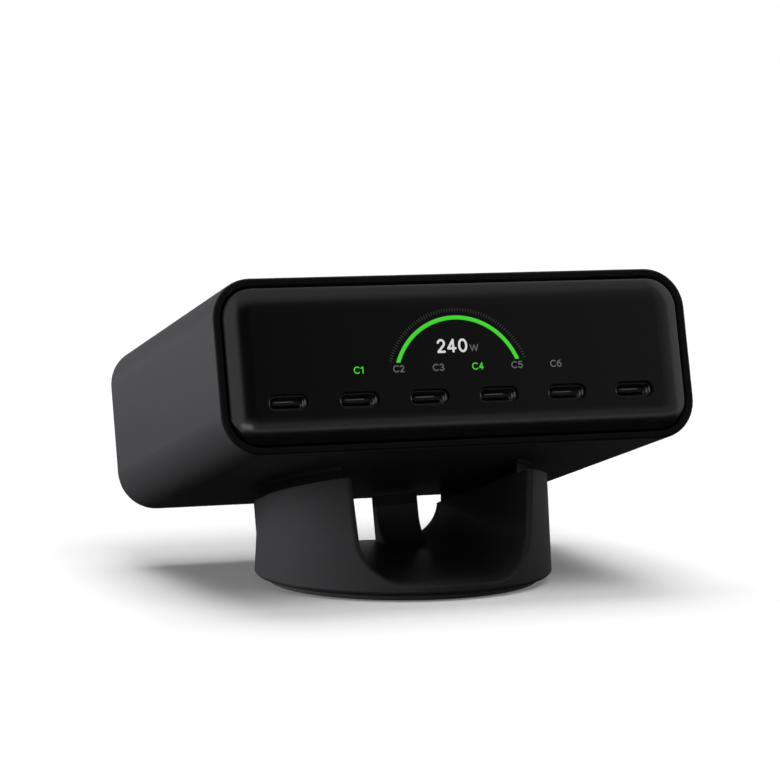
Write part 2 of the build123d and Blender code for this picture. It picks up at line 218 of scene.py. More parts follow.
# Finishes. A real grain is finer than the render can show, so each is drawn just coarse enough to break up
# the sheen. Widths and depths of grain are in millimetres.
SHADE_MM = 9
FLOW_MM = 14
DIFFUSER_MM = 0.8
GRAIN_SPREAD = 0.05
GRAIN_BUMP = 0.35
DRAW_SPREAD = 0.06
DRAW_STRETCH = (1.0, 0.05, 1.0)
WINDING_BUMP = 0.5
WINDING_RELIEF = 0.25
DIFFUSER_SPREAD = 0.06
UNLIT_SHADE = "#050505"
UNLIT_ROUGHNESS = 0.4
PLASTIC_IOR = 1.5
ACRYLIC_IOR = 1.49
PANEL_SHADE = "#070708"
PANEL_ROUGHNESS = (0.15, 0.165)
PANEL_GLOSS = 0.5
MOUTH_ROUGHNESS = 0.6
MOUTH_GLOSS = 0.2

# Grained finishes: the material, its darker and lighter shade, its roughness,
# the width and depth of its grain, its gloss
GRAINED = {
    # Polycarbonate off a spark-eroded mould: charcoal with a soft, even sheen
    "housing_plastic": ("moulded_polycarbonate_satin", "#3e3e40", "#424244", 0.5, 0.5, 0.02, 0.2),
    # ABS off the same kind of mould: the sleeve's charcoal, a touch darker
    "stand_plastic": ("moulded_abs_satin", "#3c3c3e", "#404042", 0.5, 0.5, 0.02, 0.2),
    # Moulded nylon: a plain black with the usual sheen of plastic
    "inlet_plastic": ("moulded_nylon_black", "#161617", "#1a1a1b", 0.5, 0.6, 0.03, 0.5),
    # Moulded liquid crystal polymer, almost without sheen, in a grey lighter than its own black,
    # which paints in the light that falls on the tips of the tongues
    "port_insert": ("liquid_crystal_polymer", "#2e2e30", "#343436", 0.5, 0.3, 0.01, 0.15),
    # Moulded silicone: black and dull, like rubber
    "silicone": ("moulded_silicone", "#0c0c0d", "#101011", 0.7, 0.7, 0.04, 0.5),
    # The same in grey, for the foot
    "foot_silicone": ("moulded_silicone_grey", "#4c4c4e", "#525254", 0.6, 0.7, 0.04, 0.5),
    # Glass laminate under green solder mask: the semi-gloss of a varnish
    "board_laminate": ("solder_mask_laminate", "#0f4a2c", "#176339", 0.35, 0.8, 0.03, 0.5),
    # Float glass over an unlit display: black and clear-cut in reflections
    "display_glass": ("display_glass_black", "#060607", "#0a0a0b", 0.1, 2.0, 0.002, 0.5),
    # Silicone filled with ceramic powder: a chalky grey
    "thermal_silicone": ("filled_silicone_pad", "#8a8d92", "#9a9da2", 0.8, 0.6, 0.05, 0.5),
    # Polyester sheet off the roll: milky, with long gentle waves
    "insulating_film": ("polyester_film", "#d2d0c8", "#dcdad2", 0.4, 3.0, 0.01, 0.5),
    # Pressed and sintered ferrite: a dull, stony dark grey
    "ferrite": ("sintered_ferrite", "#36363a", "#46464a", 0.75, 0.4, 0.05, 0.5),
    # Cast epoxy: dark, with the gloss of its smooth mould
    "film_case": ("moulded_epoxy", "#2a2a2e", "#343438", 0.3, 0.6, 0.02, 0.5),
    # Drawn glass tube round a pale filling: a clear highlight
    "fuse_glass": ("fuse_glass_tube", "#c9c7bd", "#d6d4ca", 0.15, 1.0, 0.01, 0.5),
    # Matt tin as plated: so pale and dull that no image shows in it
    "tin_plate": ("matt_tin_plating", "#eaeaec", "#f4f4f6", 0.4, 0.1, 0.005, 0.5),
}
# Drawn metals: the material, its darker and lighter shade, its roughness and the width of its lines
DRAWN = {
    # Nickel-plated brass: warm silver with a close gleam
    "nickel_blade": ("nickel_plated_brass", "#b9b4a8", "#cfcabd", 0.25, 0.15),
    # Tinned steel: a softer, neutral silver
    "port_steel": ("drawn_steel_matt_tin", "#a8a8aa", "#bcbcbe", 0.35, 0.12),
    # Rolled aluminium sheet: light silver with broad rolling lines
    "sheet_aluminium": ("rolled_aluminium", "#c4c5c8", "#d6d7da", 0.35, 0.3),
    # Gold flash over nickel: a pale, greyed gold
    "contact_gold": ("gold_flashed_contact", "#a8987a", "#c2b492", 0.3, 0.1),
}
# Banded finishes: the material, its two shades, the width and direction of its bands, metallic, roughness
BANDED = {
    # Copper tracks under polyimide film: amber stripes along the ribbon
    "ribbon_film": ("polyimide_film", "#a6641c", "#c07a28", 0.5, "X", 0.0, 0.35),
    # Enamelled copper wire, wound close: bright turns with dark lines between
    "copper_winding": ("enamelled_copper_wire", "#8a4a22", "#c8743c", 0.45, "Z", 1.0, 0.3),
    # Shrunk sleeve on an aluminium can: dark blue-grey in broad soft bands
    "capacitor_can": ("sleeved_aluminium_can", "#20242c", "#2a2f3a", 4.0, "Z", 0.0, 0.3),
}
# Segments of the display behind a diffuser: even light, bright where lit and dim where not
SEGMENTS = {
    "lit_green": ("display_segment_green", "#38d024"),
    "lit_white": ("display_segment_white", "#d6d6d6"),
    "dim_grey": ("display_segment_grey", "#5c5c5e"),
    "dim_tick": ("display_segment_faint", "#2e2e30"),
}
# Second finishes past an edge: the way they lie, the edge from the front face's middle,
# and their shade, roughness and gloss
EDGED = {
    # The sleeve's black front rim
    "housing_plastic": (FACE_OUT, -RIM_SETBACK, "#09090a", 0.45, 0.13),
    # The shells' darkened front edge
    "port_steel": (FACE_OUT, -SHELL_RIM, "#38383a", 0.5, 0.2),
    # Painted shade on the stand's neck, up under the charger in its shadow
    "stand_plastic": (FACE_UP, -NECK_SHADE_DROP, "#0a0a0b", 0.5, 0.2),
}


def blank_material(name):
    """A new material and its node tree."""
    material = bpy.data.materials.new(name)
    material.use_nodes = True
    return material, material.node_tree


def start_material(name):
    """A new material: its tree, its Principled shader and its object coordinates."""
    material, tree = blank_material(name)
    shader = tree.nodes["Principled BSDF"]
    place = add_node(tree, "ShaderNodeTexCoord").outputs["Object"]
    return material, tree, shader, place


def per_metre(size_mm):
    """A texture scale whose features are about this many millimetres wide."""
    return 1 / (size_mm * MM)


def between(tree, share, dark, light):
    """A colour between two shades."""
    shades = {"Factor": share, "A": linear(dark), "B": linear(light)}
    return add_node(tree, "ShaderNodeMix", shades, data_type="RGBA").outputs["Result"]


def varied(tree, share, middle, spread):
    """A number that varies about its middle."""
    limits = {"Value": share, "To Min": middle - spread, "To Max": middle + spread}
    return add_node(tree, "ShaderNodeMapRange", limits).outputs["Result"]


def grained_finish(name, dark, light, roughness, grain_mm, depth_mm, gloss):
    """Moulded, cast or coated stock: a faintly clouded colour with a fine grain that breaks up the sheen."""
    material, tree, shader, place = start_material(name)
    clouds = {"Vector": place, "Scale": per_metre(SHADE_MM), "Detail": 3.0}
    cloud = add_node(tree, "ShaderNodeTexNoise", clouds).outputs["Fac"]
    grains = {"Vector": place, "Scale": per_metre(grain_mm), "Detail": 2.0}
    grain = add_node(tree, "ShaderNodeTexNoise", grains).outputs["Fac"]
    relief = {"Height": grain, "Strength": GRAIN_BUMP, "Distance": depth_mm * MM}
    feed(tree, shader, {
        "Base Color": between(tree, cloud, dark, light),
        "Roughness": varied(tree, grain, roughness, GRAIN_SPREAD),
        "Normal": add_node(tree, "ShaderNodeBump", relief).outputs["Normal"],
        "IOR": PLASTIC_IOR,
        "Specular IOR Level": gloss,
    })
    return material


def drawn_metal(name, dark, light, roughness, line_mm):
    """Plated sheet drawn through a die: fine lines run along the draw and stretch the highlights."""
    material, tree, shader, place = start_material(name)
    drawn = add_node(tree, "ShaderNodeMapping", {"Vector": place, "Scale": DRAW_STRETCH}).outputs["Vector"]
    streaks = {"Vector": drawn, "Scale": per_metre(line_mm)}
    lines = add_node(tree, "ShaderNodeTexNoise", streaks).outputs["Fac"]
    feed(tree, shader, {
        "Base Color": between(tree, lines, dark, light),
        "Roughness": varied(tree, lines, roughness, DRAW_SPREAD),
        "Metallic": 1.0,
    })
    return material


def banded_finish(name, dark, light, band_mm, along, metallic, roughness):
    """Wound, printed or sleeved stock: bands at the pitch of its wire or tracks, along one axis."""
    material, tree, shader, place = start_material(name)
    # At this scale the wave repeats about every two bands
    wave = {"Vector": place, "Scale": per_metre(band_mm) / math.tau}
    bands = add_node(tree, "ShaderNodeTexWave", wave, bands_direction=along).outputs["Fac"]
    relief = {"Height": bands, "Strength": WINDING_BUMP, "Distance": band_mm * MM * WINDING_RELIEF}
    feed(tree, shader, {
        "Base Color": between(tree, bands, dark, light),
        "Normal": add_node(tree, "ShaderNodeBump", relief).outputs["Normal"],
        "Metallic": metallic,
        "Roughness": roughness,
    })
    return material


def lit_segment(name, code):
    """A segment of the display: even light with the slight cloudiness of a diffuser film."""
    material, tree, shader, place = start_material(name)
    clouds = {"Vector": place, "Scale": per_metre(DIFFUSER_MM), "Detail": 2.0}
    film = add_node(tree, "ShaderNodeTexNoise", clouds).outputs["Fac"]
    feed(tree, shader, {
        "Emission Color": linear(code),
        "Emission Strength": varied(tree, film, 1.0, DIFFUSER_SPREAD),
        "Base Color": linear(UNLIT_SHADE),
        "Roughness": UNLIT_ROUGHNESS,
    })
    return material


def port_mouths(tree, place):
    """1 inside the outline of every port's opening, with its lead-in edge, and 0 outside."""
    half = PORT_PITCH / 2
    to_face = Matrix.Translation((half, 0, 0)) @ FRONT.inverted()
    seat = {"Vector": place, "Location": to_face.translation, "Rotation": to_face.to_euler()}
    face = add_node(tree, "ShaderNodeMapping", seat).outputs["Vector"]
    # From the nearest port's middle, to one quarter of it, past its straight part and flat on the face
    steps = (
        ("WRAP", (half, 1, 1), (-half, -1, -1)),
        ("ABSOLUTE",),
        ("SUBTRACT", (MOUTH_STRAIGHT, 0, 1)),
        ("MAXIMUM", (0, 0, 0)),
    )
    spot = face
    for operation, *limits in steps:
        values = dict(enumerate([spot, *limits]))
        spot = add_node(tree, "ShaderNodeVectorMath", values, operation=operation).outputs["Vector"]
    reach = add_node(tree, "ShaderNodeVectorMath", {0: spot}, operation="LENGTH").outputs["Value"]
    inside = add_node(tree, "ShaderNodeMath", {0: reach, 1: MOUTH_RADIUS}, operation="LESS_THAN")
    across = add_node(tree, "ShaderNodeSeparateXYZ", {"Vector": face}).outputs["X"]
    in_row = add_node(tree, "ShaderNodeMath", {0: across, 1: half, 2: PORT_COUNT * half}, operation="COMPARE")
    both = {0: inside.outputs["Value"], 1: in_row.outputs["Value"]}
    return add_node(tree, "ShaderNodeMath", both, operation="MULTIPLY").outputs["Value"]


def polished_acrylic():
    """Black acrylic off a polished mould: a clear sheen with faint flow marks, matt in the ports' mouths."""
    material, tree, shader, place = start_material("polished_acrylic_black")
    flow = add_node(tree, "ShaderNodeTexNoise", {"Vector": place, "Scale": per_metre(FLOW_MM), "Detail": 1.0})
    low, high = PANEL_ROUGHNESS
    haze = add_node(tree, "ShaderNodeMapRange", {"Value": flow.outputs["Fac"], "To Min": low, "To Max": high})
    mouth = port_mouths(tree, place)
    dulled = {"Factor": mouth, "A": haze.outputs["Result"], "B": MOUTH_ROUGHNESS}
    sheen = {"Value": mouth, "To Min": PANEL_GLOSS, "To Max": MOUTH_GLOSS}
    feed(tree, shader, {
        "Base Color": linear(PANEL_SHADE),
        "Roughness": add_node(tree, "ShaderNodeMix", dulled, data_type="FLOAT").outputs["Result"],
        "Specular IOR Level": add_node(tree, "ShaderNodeMapRange", sheen).outputs["Result"],
        "IOR": ACRYLIC_IOR,
    })
    return material


def finish_edge(material, aim, edge, code, roughness, gloss):
    """Gives all past an edge along an aim a second colour, roughness and gloss; on the stand's neck, painted
    shade.
    """
    tree = material.node_tree
    shader = tree.nodes["Principled BSDF"]
    place = tree.nodes["Texture Coordinate"].outputs["Object"]
    line = aim.dot(FRONT.translation) + edge
    along = add_node(tree, "ShaderNodeVectorMath", {0: place, 1: aim}, operation="DOT_PRODUCT")
    limits = {"Value": along.outputs["Value"], "From Min": line - BAND_BLUR, "From Max": line + BAND_BLUR}
    past = add_node(tree, "ShaderNodeMapRange", limits).outputs["Result"]
    for socket, value, kind in (("Base Color", linear(code), "RGBA"), ("Roughness", roughness, "FLOAT")):
        plain = shader.inputs[socket].links[0].from_socket
        mix = add_node(tree, "ShaderNodeMix", {"Factor": past, "A": plain, "B": value}, data_type=kind)
        feed(tree, shader, {socket: mix.outputs["Result"]})
    plain_gloss = shader.inputs["Specular IOR Level"].default_value
    sheen = add_node(tree, "ShaderNodeMapRange", {"Value": past, "To Min": plain_gloss, "To Max": gloss})
    feed(tree, shader, {"Specular IOR Level": sheen.outputs["Result"]})


def make_materials():
    """One finish for each of the record's material slots, and those of the scene's own pieces."""
    finishes = {"panel_gloss": polished_acrylic()}
    kinds = ((grained_finish, GRAINED), (drawn_metal, DRAWN),
             (banded_finish, BANDED), (lit_segment, SEGMENTS))
    for make, table in kinds:
        for slot, looks in table.items():
            finishes[slot] = make(*looks)
    for slot, looks in EDGED.items():
        finish_edge(finishes[slot], *looks)
    return finishes


FINISH = make_materials()


def dress_nodes():
    """Gives every CAD node the finish of its slot, which is the name of the material it came with."""
    for piece in NODES.values():
        for held in piece.material_slots:
            held.material = FINISH[held.material.name]
    NODES["foot_pad"].material_slots[0].material = FINISH["foot_silicone"]


def add_piece(name, mesh):
    """Makes a finished mesh a piece of the charger."""
    piece = place_object(name, mesh)
    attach(piece, "root")


def start_tree(name, sizes):
    """A Geometry Nodes tree with a named input for each size and one for the material."""
    tree = bpy.data.node_groups.new(name, "GeometryNodeTree")
    tree.interface.new_socket("Geometry", in_out="OUTPUT", socket_type="NodeSocketGeometry")
    for size, value in sizes.items():
        kind = "NodeSocketInt" if isinstance(value, int) else "NodeSocketFloat"
        tree.interface.new_socket(size, in_out="INPUT", socket_type=kind)
    tree.interface.new_socket("Material", in_out="INPUT", socket_type="NodeSocketMaterial")
    return tree, add_node(tree, "NodeGroupInput").outputs


def grow_mesh(tree, size, shape, sizes, finish):
    """Ends a tree, evaluates it with its sizes and gives back a plain mesh."""
    solid = add_node(tree, "GeometryNodeRealizeInstances", {"Geometry": shape}).outputs["Geometry"]
    painted = add_node(tree, "GeometryNodeSetMaterial", {"Geometry": solid, "Material": size["Material"]})
    add_node(tree, "NodeGroupOutput", {"Geometry": painted.outputs["Geometry"]})
    carrier = place_object(tree.name, bpy.data.meshes.new(tree.name))
    modifier = carrier.modifiers.new(tree.name, "NODES")
    modifier.node_group = tree
    values = dict(sizes, Material=FINISH[finish])
    for item in tree.interface.items_tree:
        if item.in_out == "INPUT":
            modifier[item.identifier] = values[item.name]
    evaluated = carrier.evaluated_get(bpy.context.evaluated_depsgraph_get())
    mesh = bpy.data.meshes.new_from_object(evaluated)
    bpy.data.objects.remove(carrier)
    return mesh


def top_arc(tree, size, points):
    """An arc of so many points that reaches as far to the left of its top as to the right."""
    start = add_node(tree, "ShaderNodeMath", {0: math.pi / 2, 1: size["Half Angle"]}, operation="SUBTRACT")
    sweep = add_node(tree, "ShaderNodeMath", {0: size["Half Angle"], 1: 2.0}, operation="MULTIPLY")
    arc = {"Resolution": points, "Radius": size["Radius"],
           "Start Angle": start.outputs["Value"], "Sweep Angle": sweep.outputs["Value"]}
    return add_node(tree, "GeometryNodeCurveArc", arc).outputs["Curve"]


def trim_foot(mesh, level):
    """Cuts away all of a mesh below a level and closes the cut."""
    shape = bmesh.new()
    shape.from_mesh(mesh)
    everything = [*shape.verts, *shape.edges, *shape.faces]
    cut = bmesh.ops.bisect_plane(shape, geom=everything, plane_co=(0, level, 0), plane_no=(0, -1, 0),
                                 clear_outer=True)
    rims = [item for item in cut["geom_cut"] if isinstance(item, bmesh.types.BMEdge)]
    bmesh.ops.holes_fill(shape, edges=rims)
    bmesh.ops.recalc_face_normals(shape, faces=shape.faces)
    shape.to_mesh(mesh)
    shape.free()


def make_gauge():
    """The gauge's lit band: a flat strip swept along an arc, which ends level."""
    sizes = {"Radius": GAUGE_RADIUS, "Stroke": GAUGE_STROKE, "Thickness": MARK_THICKNESS,
             "Half Angle": math.radians(GAUGE_HALF_ANGLE), "Steps": GAUGE_STEPS}
    tree, size = start_tree("gauge_band", sizes)
    arc = top_arc(tree, size, size["Steps"])
    level = add_node(tree, "GeometryNodeSetCurveNormal", {"Curve": arc}, mode="Z_UP")
    section = {"Width": size["Stroke"], "Height": size["Thickness"]}
    strip = add_node(tree, "GeometryNodeCurvePrimitiveQuadrilateral", section)
    swept = {"Curve": level.outputs["Curve"], "Profile Curve": strip.outputs["Curve"], "Fill Caps": True}
    band = add_node(tree, "GeometryNodeCurveToMesh", swept)
    mesh = grow_mesh(tree, size, band.outputs["Mesh"], sizes, "lit_green")
    trim_foot(mesh, GAUGE_FOOT - GAUGE_CENTRE)
    mesh.transform(DISPLAY @ Matrix.Translation((0, GAUGE_CENTRE, MARK_LIFT)))
    add_piece("display_gauge", mesh)


def make_ticks():
    """The faint ring of ticks outside the gauge."""
    sizes = {"Radius": TICK_RADIUS, "Length": TICK_LENGTH, "Width": TICK_WIDTH, "Thickness": MARK_THICKNESS,
             "Half Angle": math.radians(TICK_HALF_ANGLE), "Count": TICK_COUNT}
    tree, size = start_tree("gauge_ticks", sizes)
    arc = top_arc(tree, size, size["Count"])
    points = add_node(tree, "GeometryNodeCurveToPoints", {"Curve": arc}, mode="EVALUATED").outputs
    turn = add_node(tree, "FunctionNodeAlignRotationToVector", {"Vector": points["Tangent"]},
                    axis="X", pivot_axis="Z")
    sides = {"X": size["Width"], "Y": size["Length"], "Z": size["Thickness"]}
    extent = add_node(tree, "ShaderNodeCombineXYZ", sides)
    tick = add_node(tree, "GeometryNodeMeshCube", {"Size": extent.outputs["Vector"]})
    ring = {"Points": points["Points"], "Instance": tick.outputs["Mesh"],
            "Rotation": turn.outputs["Rotation"]}
    ticks = add_node(tree, "GeometryNodeInstanceOnPoints", ring)
    mesh = grow_mesh(tree, size, ticks.outputs["Instances"], sizes, "dim_tick")
    mesh.transform(DISPLAY @ Matrix.Translation((0, GAUGE_CENTRE, MARK_LIFT)))
    add_piece("display_ticks", mesh)


def line_up(tree, shape, count, step):
    """Copies of a shape in a row, with a step along each axis that is named."""
    offset = add_node(tree, "ShaderNodeCombineXYZ", step)
    line = add_node(tree, "GeometryNodeMeshLine", {"Count": count, "Offset": offset.outputs["Vector"]})
    row = {"Points": line.outputs["Mesh"], "Instance": shape}
    return add_node(tree, "GeometryNodeInstanceOnPoints", row).outputs["Instances"]


def fill_ports(name, tree, size, shape, sizes, first, finish):
    """Repeats a shape in every receptacle, as one piece. First is its place from a port's middle."""
    row = line_up(tree, shape, size["Ports"], {"X": size["Port Pitch"]})
    mesh = grow_mesh(tree, size, row, sizes, finish)
    mesh.transform(FRONT @ Matrix.Translation(LEFT_PORT + Vector(first)))
    add_piece(name, mesh)


def make_port_boxes(name, box, rows, first, finish):
    """Boxes in two nested rows inside every receptacle. A row has its count and its step."""
    sizes = {"Width": box[0], "Height": box[1], "Length": box[2], **EVERY_PORT}
    for row, (count, step) in rows.items():
        sizes[f"{row} Count"] = count
        sizes.update({f"{row} {axis}": length for axis, length in zip("XYZ", step)})
    tree, size = start_tree(name, sizes)
    sides = {"X": size["Width"], "Y": size["Height"], "Z": size["Length"]}
    extent = add_node(tree, "ShaderNodeCombineXYZ", sides)
    shape = add_node(tree, "GeometryNodeMeshCube", {"Size": extent.outputs["Vector"]}).outputs["Mesh"]
    for row in rows:
        step = {axis: size[f"{row} {axis}"] for axis in "XYZ"}
        shape = line_up(tree, shape, size[f"{row} Count"], step)
    fill_ports(name, tree, size, shape, sizes, first, finish)


def make_contacts():
    """Two rows of plated contacts on every receptacle's tongue."""
    rows = {"Contact": (CONTACT_COUNT, (CONTACT_PITCH, 0.0, 0.0)),
            "Face": (TONGUE_FACES, (0.0, TONGUE_THICKNESS, 0.0))}
    first = (-(CONTACT_COUNT - 1) / 2 * CONTACT_PITCH, -TONGUE_THICKNESS / 2,
             -CONTACT_SETBACK - CONTACT_SIZE[2] / 2)
    make_port_boxes("usb_contacts", CONTACT_SIZE, rows, first, "contact_gold")


def make_ribs():
    """Ribs one behind the other in both end walls of every receptacle's shell."""
    rows = {"Rib": (RIB_COUNT, (0.0, 0.0, -RIB_PITCH)),
            "End": (SHELL_ENDS, (RIB_SPAN, 0.0, 0.0))}
    first = (-RIB_SPAN / 2, 0, -RIB_SETBACK - RIB_SIZE[2] / 2)
    make_port_boxes("usb_shell_ribs", RIB_SIZE, rows, first, "tin_plate")


def make_lips():
    """The steel lip of the ground plate, along the upper edge of each tongue's tip."""
    sizes = {"Radius": LIP_RADIUS, "Width": LIP_WIDTH, "Sides": LIP_SIDES, **EVERY_PORT}
    tree, size = start_tree("usb_tongue_lips", sizes)
    bar = {"Vertices": size["Sides"], "Radius": size["Radius"], "Depth": size["Width"]}
    rod = add_node(tree, "GeometryNodeMeshCylinder", bar).outputs["Mesh"]
    turned = add_node(tree, "GeometryNodeTransform", {"Geometry": rod, "Rotation": (0, math.pi / 2, 0)})
    fill_ports("usb_tongue_lips", tree, size, turned.outputs["Geometry"], sizes, LIP_PLACE, "tin_plate")


# Lettering in strokes of one width with round ends
ARC_STEP = 10
CAP_STEPS = 8
GLYPH_SPACE = 0.16
MERGE_INSIDE = 1
MERGE_WITHIN = 1e-8
FLAT_ANGLE = math.radians(1)


def arc_stroke(x, y, radius_x, radius_y, start, end):
    """A stroke along an ellipse between two angles in degrees."""
    steps = max(2, round(abs(end - start) / ARC_STEP))
    turns = [math.radians(start + (end - start) * step / steps) for step in range(steps + 1)]
    return [Vector((x + radius_x * math.cos(turn), y + radius_y * math.sin(turn))) for turn in turns]


def line_stroke(*ends):
    """A straight stroke."""
    return [Vector(end) for end in ends]


# Each figure's width and strokes, on a body one unit high
GLYPHS = {
    "0": (0.64, [arc_stroke(0.32, 0.5, 0.32, 0.5, 0, 180), arc_stroke(0.32, 0.5, 0.32, 0.5, 180, 360)]),
    "1": (0.30, [line_stroke((0, 0.8), (0.3, 1)), line_stroke((0.3, 1), (0.3, 0))]),
    "2": (0.56, [arc_stroke(0.28, 0.72, 0.28, 0.28, 165, -38), line_stroke((0.5, 0.55), (0, 0)),
                 line_stroke((0, 0), (0.57, 0))]),
    "3": (0.62, [arc_stroke(0.3, 0.75, 0.28, 0.25, 150, -90), arc_stroke(0.3, 0.25, 0.32, 0.25, 90, -150)]),
    "4": (0.66, [line_stroke((0.46, 1), (0, 0.27)), line_stroke((0, 0.27), (0.66, 0.27)),
                 line_stroke((0.46, 1), (0.46, 0))]),
    "5": (0.64, [line_stroke((0.56, 1), (0.12, 1)), line_stroke((0.12, 1), (0.06, 0.55)),
                 arc_stroke(0.31, 0.32, 0.33, 0.32, 140, -145)]),
    "6": (0.64, [arc_stroke(0.32, 0.31, 0.32, 0.31, 0, 180), arc_stroke(0.32, 0.31, 0.32, 0.31, 180, 360),
                 arc_stroke(0.55, 0.31, 0.55, 0.69, 90, 180)]),
    "C": (0.82, [arc_stroke(0.5, 0.5, 0.5, 0.5, 48, 312)]),
    "W": (1.34, [line_stroke((0, 1), (0.335, 0)), line_stroke((0.335, 0), (0.67, 0.95)),
                 line_stroke((0.67, 0.95), (1.005, 0)), line_stroke((1.005, 0), (1.34, 1))]),
}


def round_end(centre, side):
    """The points of a half circle that starts at one side and turns clockwise to the other."""
    turns = [-math.pi * step / CAP_STEPS for step in range(1, CAP_STEPS)]
    return [centre + Matrix.Rotation(turn, 2) @ side for turn in turns]


def stroke_outline(points, half):
    """The outline of a stroke with round ends, anticlockwise."""
    count = len(points)
    aims = [(points[min(at + 1, count - 1)] - points[max(at - 1, 0)]).normalized() for at in range(count)]
    sides = [Vector((-aim.y, aim.x)) * half for aim in aims]
    outline = [point + side for point, side in zip(points, sides)]
    outline += round_end(points[-1], sides[-1])
    outline += [point - side for point, side in zip(reversed(points), reversed(sides))]
    outline += round_end(points[0], -sides[0])
    return outline[::-1]


def write_marks(text, start, base, height, stroke):
    """The outlines of a run of figures on the front face, as a list of strokes for each figure."""
    half = stroke / 2
    reach = height - stroke
    outlines = []
    pen = start + half
    for letter in text:
        width, strokes = GLYPHS[letter]
        corner = Vector((pen, base + half))
        paths = [[corner + point * reach for point in path] for path in strokes]
        outlines.append([stroke_outline(path, half) for path in paths])
        pen += width * reach + stroke + GLYPH_SPACE * reach
    return outlines


def run_width(text, height, stroke):
    """How wide a run of figures comes out."""
    reach = height - stroke
    widths = [GLYPHS[letter][0] * reach + stroke for letter in text]
    return sum(widths) + GLYPH_SPACE * reach * (len(text) - 1)


def merge_strokes(shape, strokes):
    """Adds one figure's strokes to a flat shape, with nothing covered twice."""
    points = [point for stroke in strokes for point in stroke]
    outlines = []
    for stroke in strokes:
        first = sum(len(outline) for outline in outlines)
        outlines.append(list(range(first, first + len(stroke))))
    merged = geometry.delaunay_2d_cdt(points, [], outlines, MERGE_INSIDE, MERGE_WITHIN)
    spots, _, triangles, _, _, sources = merged
    corners = [shape.verts.new((spot.x, spot.y, 0)) for spot in spots]
    for triangle, source in zip(triangles, sources):
        if source:
            shape.faces.new([corners[at] for at in triangle])


def solid_marks(name, figures, finish):
    """A run of figures as one piece, with a thickness, on the front face."""
    shape = bmesh.new()
    for strokes in figures:
        merge_strokes(shape, strokes)
    bmesh.ops.recalc_face_normals(shape, faces=shape.faces)
    bmesh.ops.dissolve_limit(shape, angle_limit=FLAT_ANGLE, verts=shape.verts, edges=shape.edges)
    raised = bmesh.ops.extrude_face_region(shape, geom=shape.faces[:], use_keep_orig=True)
    tops = [part for part in raised["geom"] if isinstance(part, bmesh.types.BMVert)]
    bmesh.ops.translate(shape, verts=tops, vec=(0, 0, MARK_THICKNESS))
    bmesh.ops.recalc_face_normals(shape, faces=shape.faces)
    mesh = bpy.data.meshes.new(name)
    shape.to_mesh(mesh)
    shape.free()
    mesh.transform(DISPLAY)
    mesh.materials.append(FINISH[finish])
    add_piece(name, mesh)


def make_lettering():
    """The reading, its unit and the ports' numbers."""
    reading = write_marks("240", FIGURE_START, FIGURE_BASE, FIGURE_HEIGHT, FIGURE_STROKE)
    solid_marks("display_reading", reading, "lit_white")
    unit = write_marks("W", UNIT_START, UNIT_BASE, UNIT_HEIGHT, UNIT_STROKE)
    solid_marks("display_unit", unit, "dim_grey")
    for number in range(1, PORT_COUNT + 1):
        text = f"C{number}"
        middle = (number - (PORT_COUNT + 1) / 2) * LABEL_PITCH + LABEL_SHIFT
        start = middle - run_width(text, LABEL_HEIGHT, LABEL_STROKE) / 2
        figures = write_marks(text, start, LABEL_BASE, LABEL_HEIGHT, LABEL_STROKE)
        solid_marks(f"display_label_{number}", figures, "lit_green" if number in LIT_LABELS else "dim_grey")


def direction(azimuth, elevation):
    """A unit vector: azimuth 0 is the front and 90 the right, in degrees."""
    turn = math.radians(azimuth)
    rise = math.radians(elevation)
    return Vector((math.sin(turn) * math.cos(rise), -math.cos(turn) * math.cos(rise), math.sin(rise)))


def seen_rays(tree):
    """One for rays that the eye follows, straight or by a mirror or a lens, and nought for light."""
    rays = add_node(tree, "ShaderNodeLightPath").outputs
    seen = rays["Is Camera Ray"]
    for kind in ("Is Glossy Ray", "Is Transmission Ray"):
        either = add_node(tree, "ShaderNodeMath", {0: seen, 1: rays[kind]}, operation="MAXIMUM")
        seen = either.outputs["Value"]
    return seen


def make_floor():
    """A white floor that takes a soft shadow, and throws little light back at the charger."""
    material, tree = blank_material("matt_white_paper")
    seen = seen_rays(tree)
    levels = {"Value": seen, "To Min": FLOOR_BOUNCE, "To Max": FLOOR_SEEN}
    level = add_node(tree, "ShaderNodeMapRange", levels)
    glow = add_node(tree, "ShaderNodeMath", {0: seen, 1: FLOOR_GLOW}, operation="MULTIPLY")
    feed(tree, tree.nodes["Principled BSDF"], {
        "Base Color": level.outputs["Result"],
        "Roughness": 1.0,
        "Specular IOR Level": 0.0,
        "Emission Color": WHITE,
        "Emission Strength": glow.outputs["Value"],
    })
    mesh = bpy.data.meshes.new("floor")
    corners = [(x * FLOOR_HALF, y * FLOOR_HALF, 0) for x, y in ((-1, -1), (1, -1), (1, 1), (-1, 1))]
    mesh.from_pydata(corners, [], [(0, 1, 2, 3)])
    mesh.materials.append(material)
    floor = place_object("floor", mesh)
    return floor


def hang_card(name, points, wide, covers):
    """A black card on a grid of points, as solid at each as its cover says, that only reflections show."""
    material, tree = blank_material(name)
    tree.nodes.clear()
    cover = add_node(tree, "ShaderNodeAttribute", attribute_name="cover").outputs["Fac"]
    clear = add_node(tree, "ShaderNodeBsdfTransparent").outputs["BSDF"]
    black = add_node(tree, "ShaderNodeEmission", {"Color": BLACK}).outputs["Emission"]
    card = add_node(tree, "ShaderNodeMixShader", {0: cover, 1: clear, 2: black}).outputs["Shader"]
    add_node(tree, "ShaderNodeOutputMaterial", {"Surface": card})
    mesh = bpy.data.meshes.new(name)
    starts = [row * wide + at for row in range(len(points) // wide - 1) for at in range(wide - 1)]
    mesh.from_pydata(points, [], [(at, at + 1, at + wide + 1, at + wide) for at in starts])
    mesh.attributes.new("cover", "FLOAT", "POINT").data.foreach_set("value", covers)
    mesh.materials.append(material)
    hung = place_object(name, mesh)
    hung.visible_camera = False
    hung.visible_diffuse = False
    hung.visible_shadow = False
    hung.visible_transmission = False


